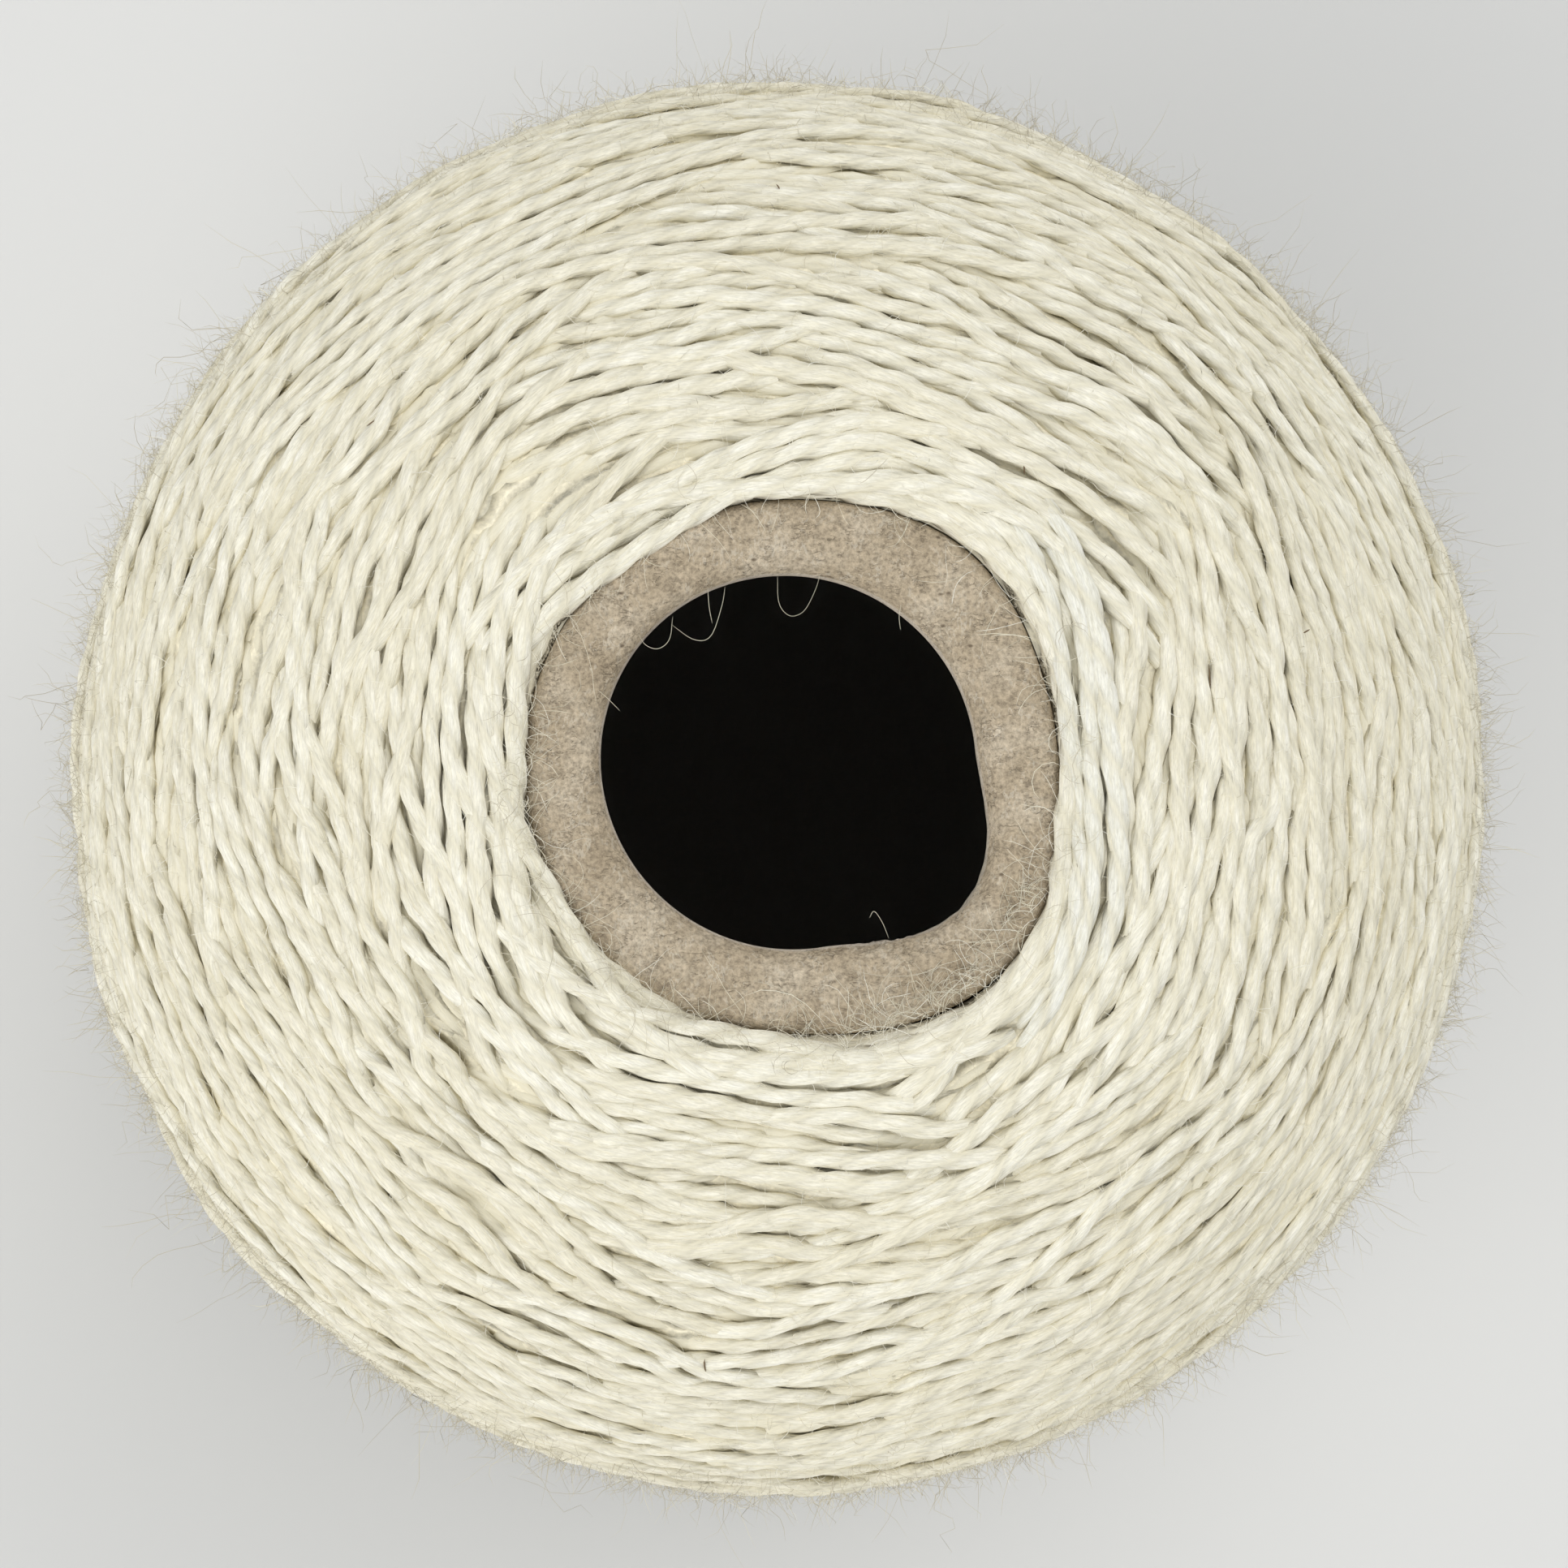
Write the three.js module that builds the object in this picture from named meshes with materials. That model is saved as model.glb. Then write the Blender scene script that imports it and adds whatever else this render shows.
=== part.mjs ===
// A cone of wool yarn: two-ply yarn wound in crossing layers on a tapered cardboard cone.
// Millimetres, +Z up. The origin is the centre of the cardboard cone's foot, on the surface it stands on.

import * as THREE from 'three';
import { mergeVertices } from 'three/addons/utils/BufferGeometryUtils.js';

const { degToRad, clamp, smoothstep } = THREE.MathUtils;

// Cardboard cone: a rolled paper tube with a straight taper and a nose rolled inwards
const CONE_HEIGHT = 170;
const FOOT_RADIUS = 34.5;
const BOARD_THICKNESS = 3.2;
const TAPER = Math.tan( degToRad( 5.95 ) );
const NOSE_ROUNDING = 1.8;
const BEAD_RADIUS = 2;
const BEAD_CURL = degToRad( 150 );
const BEAD_DEPTH = 6.3;
const WALL_ROWS = 4;
const NOSE_STEPS = { rounding: 4, bead: 7 };

// The nose hole isn't quite round: it is a little oval and has one worn dent
const HOLE_RADIUS = 12;
const HOLE_OVAL = { size: 0.35, towards: degToRad( 165 ) };
const HOLE_DENT = { depth: 1.9, at: degToRad( 322 ), halfWidth: degToRad( 26 ) };
const DENT_REACH = 15.5;

// Yarn package: a domed top end, a flank parallel to the cone, and a rounded base edge
const YARN_GAP = 0.3;
const LIP = { z: 168.6, crestRadius: 20, rise: 1.7 };
const DOME = { reach: 28.6, drop: 26, fullness: 1.7 };
const FLANK_END_Z = 20.5;
const BASE_EDGE = { inset: 12, drop: 9 };
const PROFILE_STEP = 2.8;
const INNER_ROWS = 4;
const FACE_STEPS = { lip: 6, dome: 40, edge: 16 };

// Crossing bands of the winding, raised on the package: each runs one way up and is crossed by its mirror
const BAND = { starts: 6, risePerRadian: 12, height: 1.1, fade: 9 };

const SEGMENTS = 72;
const SAME_POINT = 1e-6;

const board = new THREE.MeshStandardMaterial( { color: 0xb3a68c, roughness: 0.9, metalness: 0 } );
const wool = new THREE.MeshStandardMaterial( { color: 0xe4dfca, roughness: 0.95, metalness: 0 } );

const quarter = Math.PI / 2;
const coneOuter = ( z ) => FOOT_RADIUS - TAPER * z;
const coneInner = ( z ) => coneOuter( z ) - BOARD_THICKNESS;

// Points on an elliptical arc from one angle to another. A power over 1 flattens it towards its chord.
function arc( centreR, centreZ, radiusR, radiusZ, from, to, steps, power = 1 ) {

	const points = [];
	for ( let i = 0; i <= steps; i ++ ) {

		const angle = from + ( to - from ) * i / steps;
		const across = Math.sign( Math.cos( angle ) ) * Math.abs( Math.cos( angle ) ) ** power;
		const up = Math.sign( Math.sin( angle ) ) * Math.abs( Math.sin( angle ) ) ** power;
		points.push( new THREE.Vector2( centreR + radiusR * across, centreZ + radiusZ * up ) );

	}

	return points;

}

// Points on a straight line, without its last point
function line( from, to, steps ) {

	const points = [];
	for ( let i = 0; i < steps; i ++ ) points.push( from.clone().lerp( to, i / steps ) );
	return points;

}

// The same outline with points an even distance apart
function evenSteps( points, step ) {

	const path = new THREE.CurvePath();
	for ( let i = 1; i < points.length; i ++ ) {

		if ( points[ i ].distanceTo( points[ i - 1 ] ) < SAME_POINT ) continue;
		path.add( new THREE.LineCurve( points[ i - 1 ], points[ i ] ) );

	}

	return path.getSpacedPoints( Math.round( path.getLength() / step ) );

}

// Turns a closed outline about +Z, and lets move( position, row ) shift each point
function turned( outline, move ) {

	const geometry = new THREE.LatheGeometry( outline, SEGMENTS );
	geometry.rotateX( quarter );
	const position = geometry.getAttribute( 'position' );
	const uv = geometry.getAttribute( 'uv' );
	const point = new THREE.Vector3();
	for ( let i = 0; i < position.count; i ++ ) {

		point.fromBufferAttribute( position, i );
		move( point, Math.round( uv.getY( i ) * ( outline.length - 1 ) ) );
		position.setXYZ( i, point.x, point.y, point.z );

	}

	geometry.deleteAttribute( 'normal' );
	geometry.deleteAttribute( 'uv' );
	const merged = mergeVertices( geometry );
	merged.computeVertexNormals();
	return merged;

}

function shiftOutwards( point, distance ) {

	const radius = Math.hypot( point.x, point.y );
	point.x *= ( radius + distance ) / radius;
	point.y *= ( radius + distance ) / radius;

}

// How far the rim of the nose hole stands back from its mean radius, at an angle
function holeOffset( angle ) {

	const oval = HOLE_OVAL.size * Math.cos( 2 * ( angle - HOLE_OVAL.towards ) );
	const turn = Math.atan2( Math.sin( angle - HOLE_DENT.at ), Math.cos( angle - HOLE_DENT.at ) );
	const dent = 1 - smoothstep( Math.abs( turn ), 0, HOLE_DENT.halfWidth );
	return oval + HOLE_DENT.depth * dent;

}

function cardboardCone() {

	const beadZ = CONE_HEIGHT - BEAD_RADIUS;
	const noseZ = CONE_HEIGHT - NOSE_ROUNDING;
	const beadCentre = HOLE_RADIUS + BEAD_RADIUS;
	const beadEnd = CONE_HEIGHT - BEAD_DEPTH;
	const footInner = new THREE.Vector2( coneInner( 0 ), 0 );
	const footOuter = new THREE.Vector2( coneOuter( 0 ), 0 );
	const wallTop = new THREE.Vector2( coneOuter( noseZ ), noseZ );
	const wallInnerTop = new THREE.Vector2( coneInner( beadEnd ), beadEnd );
	const noseCentre = wallTop.x - NOSE_ROUNDING;

	const outline = [
		footInner,
		...line( footOuter, wallTop, WALL_ROWS ),
		...arc( noseCentre, noseZ, NOSE_ROUNDING, NOSE_ROUNDING, 0, quarter, NOSE_STEPS.rounding ),
		...arc( beadCentre, beadZ, BEAD_RADIUS, BEAD_RADIUS, quarter, quarter + BEAD_CURL, NOSE_STEPS.bead ),
		...line( wallInnerTop, footInner, WALL_ROWS ),
		footInner.clone(),
	];

	return turned( outline, ( point ) => {

		if ( point.z < beadEnd - SAME_POINT ) return;
		const radius = Math.hypot( point.x, point.y );
		const share = clamp( ( DENT_REACH - radius ) / ( DENT_REACH - HOLE_RADIUS ), 0, 1 );
		shiftOutwards( point, share * holeOffset( Math.atan2( point.y, point.x ) ) );

	} );

}

// Outer face of the yarn package, from the lip at the nose down to the bare cardboard at the foot
function packageFace() {

	const lipRadius = coneOuter( LIP.z ) + YARN_GAP;
	const crestZ = LIP.z + LIP.rise;
	const shoulderZ = crestZ - DOME.drop;
	const shoulderRadius = LIP.crestRadius + DOME.reach;
	const flankEndRadius = shoulderRadius + TAPER * ( shoulderZ - FLANK_END_Z );
	const edgeCentre = flankEndRadius - BASE_EDGE.inset;
	const bottomZ = FLANK_END_Z - BASE_EDGE.drop;
	const lipWidth = LIP.crestRadius - lipRadius;
	const domePower = 2 / DOME.fullness;

	const lip = arc( LIP.crestRadius, LIP.z, lipWidth, LIP.rise, 2 * quarter, quarter, FACE_STEPS.lip );
	const dome = arc( LIP.crestRadius, shoulderZ, DOME.reach, DOME.drop, quarter, 0, FACE_STEPS.dome, domePower );
	const edge = arc( edgeCentre, FLANK_END_Z, BASE_EDGE.inset, BASE_EDGE.drop, 0, - quarter, FACE_STEPS.edge );
	const bottomInner = new THREE.Vector2( coneOuter( bottomZ ) + YARN_GAP, bottomZ );
	return [ ...lip, ...dome, ...edge, bottomInner ];

}

// Height of the crossing bands at an angle and a distance along the face from the nose
function bandHeight( angle, along, faceLength ) {

	const turn = BAND.starts * angle;
	const climb = BAND.starts / BAND.risePerRadian * along;
	const rising = 0.5 + 0.5 * Math.cos( turn + climb );
	const falling = 0.5 + 0.5 * Math.cos( turn - climb );
	const fade = smoothstep( Math.min( along, faceLength - along ), 0, BAND.fade );
	return BAND.height * fade * ( Math.max( rising, falling ) - 0.5 );

}

function woundYarn() {

	const face = evenSteps( packageFace(), PROFILE_STEP );
	face.reverse();
	const faceRows = face.length;
	const faceLength = ( faceRows - 1 ) * PROFILE_STEP;
	const innerWall = line( face[ faceRows - 1 ], face[ 0 ], INNER_ROWS ).slice( 1 );
	const outline = [ ...face, ...innerWall, face[ 0 ].clone() ];

	// Which way is outwards on the face, row by row
	const outwards = face.map( ( point, row ) => {

		const before = face[ Math.max( row - 1, 0 ) ];
		const after = face[ Math.min( row + 1, faceRows - 1 ) ];
		const along = after.clone().sub( before ).normalize();
		return new THREE.Vector2( along.y, - along.x );

	} );

	return turned( outline, ( point, row ) => {

		if ( row >= faceRows ) return;
		const along = ( faceRows - 1 - row ) * PROFILE_STEP;
		const height = bandHeight( Math.atan2( point.y, point.x ), along, faceLength );
		shiftOutwards( point, height * outwards[ row ].x );
		point.z += height * outwards[ row ].y;

	} );

}

function piece( name, geometry, material ) {

	const mesh = new THREE.Mesh( geometry, material );
	mesh.name = name;
	return mesh;

}

const yarnCone = new THREE.Group();
yarnCone.add( piece( 'cardboard_cone', cardboardCone(), board ) );
yarnCone.add( piece( 'wound_yarn', woundYarn(), wool ) );

export default yarnCone;
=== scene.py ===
import math

import bmesh
import bpy
import numpy as np
from mathutils import Matrix, Vector, noise


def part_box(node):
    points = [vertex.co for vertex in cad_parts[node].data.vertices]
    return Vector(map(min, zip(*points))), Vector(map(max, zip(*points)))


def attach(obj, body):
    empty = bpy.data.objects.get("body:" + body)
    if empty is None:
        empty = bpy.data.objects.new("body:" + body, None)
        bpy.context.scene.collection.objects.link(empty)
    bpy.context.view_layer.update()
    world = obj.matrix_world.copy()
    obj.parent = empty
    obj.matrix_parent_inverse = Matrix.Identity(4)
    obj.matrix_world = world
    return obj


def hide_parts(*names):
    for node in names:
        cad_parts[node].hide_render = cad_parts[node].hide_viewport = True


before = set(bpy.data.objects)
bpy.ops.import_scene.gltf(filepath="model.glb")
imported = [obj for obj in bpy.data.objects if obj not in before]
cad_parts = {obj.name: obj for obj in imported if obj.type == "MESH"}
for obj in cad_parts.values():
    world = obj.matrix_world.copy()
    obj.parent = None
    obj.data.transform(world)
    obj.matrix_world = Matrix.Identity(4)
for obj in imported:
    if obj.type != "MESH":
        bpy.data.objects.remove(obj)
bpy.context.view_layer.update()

# The view.
# A camera held close above the nose looks almost straight down, and leans a little to the lower left, so
# the domed top end hides the flank and the nose sits a little up and to the right of the middle.
MM = 0.001
EYE_ABOVE_NOSE = 265 * MM
EYE_ASIDE = Vector((-7.5, -13.3, 0)) * MM
AIM = Vector((0.2, 0.0, -26)) * MM
SENSOR_WIDTH = 36
FOCAL_LENGTH = 96.8

cone_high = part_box("cardboard_cone")[1]
nose = Vector((0, 0, cone_high.z))
eye = nose + EYE_ASIDE + Vector((0, 0, EYE_ABOVE_NOSE))
forward = (nose + AIM - eye).normalized()
right = forward.cross(Vector((0, 1, 0))).normalized()
up = right.cross(forward)

camera_data = bpy.data.cameras.new("camera")
camera_data.sensor_width = SENSOR_WIDTH
camera_data.lens = FOCAL_LENGTH
camera_data.clip_start = 10 * MM
camera = bpy.data.objects.new("camera", camera_data)
camera.matrix_world = Matrix.Translation(eye) @ Matrix((right, up, -forward)).transposed().to_4x4()
bpy.context.scene.collection.objects.link(camera)
bpy.context.scene.camera = camera


# The cardboard cone.
# Recycled grey-brown board rolled into a tapered tube, glued along one lap, cut square at the foot, and
# rolled inwards at the nose to a smooth bead. The nose hole is a little oval, with one worn dent.
CONE_HEIGHT = cone_high.z / MM
FOOT_RADIUS = cone_high.x / MM
BOARD = 3.2
TAPER = math.tan(math.radians(5.95))
NOSE_ROUNDING = 1.1
BEAD = 2.0
BEAD_CURL = 150
BEAD_DEPTH = 6.3
HOLE_RADIUS = 11.88
HOLE_OVAL = 0.13
HOLE_OVAL_TOWARDS = 139
HOLE_ASIDE = 0.32
HOLE_ASIDE_TOWARDS = 117
DENT_DEPTH = 2.3
DENT_AT = 323
DENT_HALF_WIDTH = 43
DENT_REACH = 15.5
RIM_PUSHED = ((1.8, 317, 50), (0.8, 52, 38))
PUSHED_HEIGHT = 20
TORN_AT = 299
TORN_HALF_WIDTH = 12
RAGGED, RAGGED_GRAIN = 0.12, 0.8
TORN, TORN_GRAIN = 0.35, 0.45
LUMPS = ((0.22, 6), (0.05, 1.3))
HIGHLIGHT_EDGE = 0.12
LAP_AT = 40
LAP_TWIST = 0.12
LAP_STEP = 0.35
CONE_SEGMENTS = 240


def cone_outer(height):
    return FOOT_RADIUS - TAPER * height


def arc_points(centre, radii, start, end, steps, power=1.0):
    """Points on an elliptical arc in the radius and height plane, angles in degrees."""
    angle = np.radians(np.linspace(start, end, steps + 1))
    across = np.sign(np.cos(angle)) * np.abs(np.cos(angle)) ** power
    rise = np.sign(np.sin(angle)) * np.abs(np.sin(angle)) ** power
    return np.column_stack((centre[0] + radii[0] * across, centre[1] + radii[1] * rise))


def straight(start, end, steps):
    """Points on a straight line, without its last one."""
    share = np.linspace(0, 1, steps, endpoint=False)[:, None]
    return np.array(start) * (1 - share) + np.array(end) * share


def turn_between(angle, at):
    """Signed turn in degrees from one direction to another, -180 to 180."""
    return (angle - at + 180) % 360 - 180


def swell(angle, at, half_width):
    """1 in one direction, falling smoothly to 0 at a number of degrees from it."""
    share = np.minimum(np.abs(turn_between(angle, at)) / half_width, 1)
    return 1 - share * share * (3 - 2 * share)


def hole_offset(angle):
    """How far the rim of the nose hole stands back from its mean radius, at an angle in degrees."""
    oval = HOLE_OVAL * np.cos(2 * np.radians(angle - HOLE_OVAL_TOWARDS))
    aside = HOLE_ASIDE * np.cos(np.radians(angle - HOLE_ASIDE_TOWARDS))
    return oval + aside + DENT_DEPTH * swell(angle, DENT_AT, DENT_HALF_WIDTH)


def rim_push(angle):
    """How far knocks have pushed the nose's outer edge outwards, at an angle in degrees."""
    return sum(size * swell(angle, at, half_width) for size, at, half_width in RIM_PUSHED)


def cone_outline():
    """The cone's wall in the radius and height plane: up the outside, over the nose, down the inside."""
    nose_z = CONE_HEIGHT - NOSE_ROUNDING
    nose_r = cone_outer(nose_z) - NOSE_ROUNDING
    bead_end = CONE_HEIGHT - BEAD_DEPTH
    foot_in = (FOOT_RADIUS - BOARD, 0)
    wall_in = (cone_outer(bead_end) - BOARD, bead_end)
    bead_centre = (HOLE_RADIUS + BEAD, CONE_HEIGHT - BEAD)
    bead = arc_points(bead_centre, (BEAD, BEAD), 90, 90 + BEAD_CURL, 18)
    return np.vstack((
        straight(foot_in, (FOOT_RADIUS, 0), 3),
        straight((FOOT_RADIUS, 0), (cone_outer(nose_z), nose_z), 10),
        arc_points((nose_r, nose_z), (NOSE_ROUNDING, NOSE_ROUNDING), 0, 90, 10),
        straight((nose_r, CONE_HEIGHT), bead[0], 4)[1:],
        bead,
        straight(bead[-1], wall_in, 5)[1:],
        straight(wall_in, foot_in, 12),
    ))


def cone_mesh():
    shape = bmesh.new()
    ring = [shape.verts.new((r * MM, 0, z * MM)) for r, z in cone_outline()]
    edges = [shape.edges.new((a, b)) for a, b in zip(ring, ring[1:] + ring[:1])]
    bmesh.ops.spin(shape, geom=ring + edges, cent=(0, 0, 0), axis=(0, 0, 1), angle=2 * math.pi,
                   steps=CONE_SEGMENTS, use_merge=True)
    bmesh.ops.remove_doubles(shape, verts=shape.verts, dist=0.001 * MM)
    bmesh.ops.recalc_face_normals(shape, faces=shape.faces)
    rim = shape.verts.layers.float.new("rim")
    for vert in shape.verts:
        radius = math.hypot(vert.co.x, vert.co.y) / MM
        angle = math.degrees(math.atan2(vert.co.y, vert.co.x))
        height = vert.co.z / MM
        move = 0.0
        outside = radius > cone_outer(height) - BOARD / 2
        near_nose = min(max(1 - (CONE_HEIGHT - height) / PUSHED_HEIGHT, 0), 1)
        if height > CONE_HEIGHT - BEAD_DEPTH - 0.01:
            share = min(max((DENT_REACH - radius) / (DENT_REACH - HOLE_RADIUS), 0), 1)
            rag, torn = (noise.noise(vert.co / (grain * MM)) for grain in (RAGGED_GRAIN, TORN_GRAIN))
            ragged = RAGGED * swell(angle, DENT_AT, DENT_HALF_WIDTH) * rag
            ragged += TORN * swell(angle, TORN_AT, TORN_HALF_WIDTH) * torn
            move = share * (hole_offset(angle) + ragged) + (1 - share) * near_nose * rim_push(angle)
            lump = sum(rise * noise.noise(vert.co / (width * MM)) for rise, width in LUMPS)
            vert.co.z += lump * MM * min(1, (height - CONE_HEIGHT + BEAD_DEPTH) / 3)
            # marks the hole's edge, which gets a painted highlight
            vert[rim] = 1 if radius < HOLE_RADIUS + HIGHLIGHT_EDGE and share > 0.9 else 0
        elif outside:
            move = near_nose * rim_push(angle)
        elif radius < cone_outer(height) - BOARD + 0.1:
            # the glued lap shows inside as a shallow step that winds a little round the cone
            lap = turn_between(angle, LAP_AT + height * LAP_TWIST)
            move = LAP_STEP * (1 / (1 + math.exp(-lap * 2)) - 0.5) * (1 if abs(lap) < 90 else 0)
        if move:
            vert.co.x *= (radius + move) / radius
            vert.co.y *= (radius + move) / radius
    mesh = bpy.data.meshes.new("rolled_cone")
    shape.to_mesh(mesh)
    shape.free()
    mesh.polygons.foreach_set("use_smooth", [True] * len(mesh.polygons))
    return mesh


def finish_of(name, **settings):
    """A new material, its node tree, and its shader with a few plain settings."""
    material = bpy.data.materials.new(name)
    material.use_nodes = True
    shader = material.node_tree.nodes["Principled BSDF"]
    for setting, value in settings.items():
        shader.inputs[setting.replace("_", " ")].default_value = value
    return material, material.node_tree, shader


def put(tree, kind, settings=None, **inputs):
    """Adds a shader node, with its settings, and its inputs set or linked by name."""
    made = tree.nodes.new("ShaderNode" + kind)
    for name, value in (settings or {}).items():
        setattr(made, name, value)
    for name, value in inputs.items():
        socket = made.inputs[name.replace("_", " ")]
        if isinstance(value, bpy.types.NodeSocket):
            tree.links.new(value, socket)
        else:
            socket.default_value = value
    return made


def maths(tree, operation, *values):
    made = tree.nodes.new("ShaderNodeMath")
    made.operation = operation
    for socket, value in zip(made.inputs, values):
        if isinstance(value, bpy.types.NodeSocket):
            tree.links.new(value, socket)
        else:
            socket.default_value = value
    return made.outputs["Value"]


def ramp(tree, factor, *stops):
    """A colour ramp of (position, colour) stops."""
    made = put(tree, "ValToRGB", Fac=factor)
    elements = made.color_ramp.elements
    for index, (position, colour) in enumerate(stops):
        stop = elements[index] if index < len(elements) else elements.new(position)
        stop.position = position
        stop.color = (*colour, 1) if not isinstance(colour, (int, float)) else (colour,) * 3 + (1,)
    return made.outputs["Color"]


def blend_colour(tree, factor, first, second, kind="MIX"):
    made = put(tree, "MixRGB", {"blend_type": kind}, Fac=factor)
    for name, value in (("Color1", first), ("Color2", second)):
        if isinstance(value, bpy.types.NodeSocket):
            tree.links.new(value, made.inputs[name])
        else:
            made.inputs[name].default_value = (*value, 1)
    return made.outputs["Color"]


def bump(tree, height, strength, depth, below=None, inwards=False):
    """A bump up to a depth in millimetres, on top of the bump below it."""
    made = put(tree, "Bump", {"invert": inwards}, Strength=strength, Distance=depth * MM, Height=height)
    if below is not None:
        tree.links.new(below, made.inputs["Normal"])
    return made.outputs["Normal"]


BOARD_COLOUR = (0.42, 0.345, 0.245)
BOARD_DARK = (0.30, 0.235, 0.155)
BOARD_LIGHT = (0.60, 0.525, 0.412)
# painted shadow in the board's fine cracks
BOARD_CRACK_SHADOW = (0.20, 0.155, 0.10)
BOARD_HAIR = (0.68, 0.62, 0.51)
BOARD_BARK = (0.11, 0.08, 0.05)
# painted highlight along the rolled edge at the hole
BOARD_PAINTED_HIGHLIGHT = (0.66, 0.6, 0.52)


def thin_lines(tree, place, scale, width):
    """Fine wandering lines, as a factor: where a noise drawn out one way passes through its middle value."""
    stretch = put(tree, "Mapping", Vector=place, Scale=scale)
    field = put(tree, "TexNoise", Vector=stretch.outputs["Vector"], Scale=1.0, Detail=2.5, Roughness=0.55)
    away = maths(tree, "ABSOLUTE", maths(tree, "SUBTRACT", field.outputs["Fac"], 0.5))
    return ramp(tree, away, (width * 0.3, 1.0), (width, 0.0))


def recycled_board():
    material, tree, shader = finish_of("recycled_board", Specular_IOR_Level=0.25)
    place = put(tree, "TexCoord").outputs["Object"]
    cloud = put(tree, "TexNoise", Vector=place, Scale=260.0, Detail=4.0, Roughness=0.6).outputs["Fac"]
    pulp = put(tree, "TexNoise", Vector=place, Scale=3200.0, Detail=3.0, Roughness=0.7).outputs["Fac"]
    colour = ramp(tree, cloud, (0.1, BOARD_DARK), (0.5, BOARD_COLOUR), (0.9, BOARD_LIGHT))
    grain = ramp(tree, pulp, (0.31, 0.62), (0.48, 0.98), (0.69, 1.36))
    colour = blend_colour(tree, 1.0, colour, grain, "MULTIPLY")
    # the felted paper fibres show as fine lines, some dark with painted shadow in fine cracks and some pale,
    # with a few specks of bark
    broken = put(tree, "TexNoise", Vector=place, Scale=900.0, Detail=2.0, Roughness=0.6).outputs["Color"]
    broken = put(tree, "SeparateXYZ", Vector=broken).outputs
    cracks = thin_lines(tree, place, (1300, 2600, 1900), 0.05)
    cracks = blend_colour(tree, 1.0, cracks, ramp(tree, broken["X"], (0.48, 0.0), (0.62, 1.0)), "MULTIPLY")
    hairs = thin_lines(tree, place, (2100, 1100, 1500), 0.05)
    hairs = blend_colour(tree, 1.0, hairs, ramp(tree, broken["Y"], (0.48, 0.0), (0.62, 1.0)), "MULTIPLY")
    # painted shadow: the dark crack lines
    colour = blend_colour(tree, maths(tree, "MULTIPLY", cracks, 0.34), colour, BOARD_CRACK_SHADOW)
    colour = blend_colour(tree, maths(tree, "MULTIPLY", hairs, 0.4), colour, BOARD_HAIR)
    stretch = put(tree, "Mapping", Vector=place, Scale=(520, 900, 700))
    cells = put(tree, "TexVoronoi", Vector=stretch.outputs["Vector"], Scale=1.0, Randomness=1.0)
    fleck = ramp(tree, cells.outputs["Distance"], (0.05, 1.0), (0.13, 0.0))
    some = ramp(tree, cells.outputs["Color"], (0.60, 0.0), (0.66, 0.8))
    colour = blend_colour(tree, blend_colour(tree, 1.0, fleck, some, "MULTIPLY"), colour, BOARD_BARK)
    # the rolled-in end of the board at the hole is painted paler, a painted highlight along its edge
    edge = put(tree, "Attribute", {"attribute_name": "rim"}).outputs["Fac"]
    colour = blend_colour(tree, ramp(tree, edge, (0.2, 0.0), (0.9, 0.55)), colour, BOARD_PAINTED_HIGHLIGHT)
    tree.links.new(colour, shader.inputs["Base Color"])
    tree.links.new(ramp(tree, pulp, (0.3, 0.95), (0.7, 0.72)), shader.inputs["Roughness"])
    rough = bump(tree, pulp, 0.9, 0.2)
    rough = bump(tree, cracks, 0.9, 0.07, rough, inwards=True)
    rough = bump(tree, broken["X"], 0.7, 0.35, rough)
    rough = bump(tree, cloud, 0.6, 0.4, rough)
    tree.links.new(rough, shader.inputs["Normal"])
    return material


def finished(name, mesh, material, replaced):
    """Puts a finished mesh in the scene as a piece that rides on the part's one body."""
    mesh.materials.append(material)
    piece = bpy.data.objects.new(name, mesh)
    bpy.context.scene.collection.objects.link(piece)
    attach(piece, "root")
    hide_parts(replaced)
    return piece


finished("rolled_cone", cone_mesh(), recycled_board(), "cardboard_cone")


# How the yarn is wound.
# One two-ply wool yarn is laid on turn by turn. Each turn slips into the valley it lies along, is pulled
# down on what is wound already, and presses it back, so the package keeps its shape as it grows.
YARN_RADIUS = 0.70
PLY_PITCH = 6.6
WIDE = 1.12
FLAT = 0.80
PRESS = 0.45
TAUT_BEND = 14.0
CREST_RADIUS = 20.0
CREST_ABOVE_NOSE = 0.3
DOME_REACH = 28.6
DOME_DROP = 26.0
DOME_FULLNESS = 1.7
FLANK_END = 20.5
EDGE_INSET = 12.0
EDGE_DROP = 9.0
FACE_START = 16.0
WOUND_DEPTH = 2.6
CELL = 0.4
COLUMNS = 980
COARSE = 4
POINT_STEP = 0.5
LEVEL = -0.5
EVEN_OVER = 3.5
SETTLE_EVERY = 6
PUSH_FADES = 6.0
AGAINST_CONE = 0.8
SWELLS = ((3, 5, 0.22), (9, 14, 0.16))
TURN_VARIES, ALONG_VARIES, VARIES_OVER = 0.05, 0.08, 9
THINNEST, THICKEST = 0.8, 1.25
SLIP_ROUNDS = 4
SLIP_SHARE, SLIP_MOST, SLIP_OVER = 0.5, 0.22, 3.5
TAUT_REACH = 6
STIFF_OVER, SMOOTH_OVER = 2.5, 1.2

rng = np.random.default_rng(20)


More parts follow.
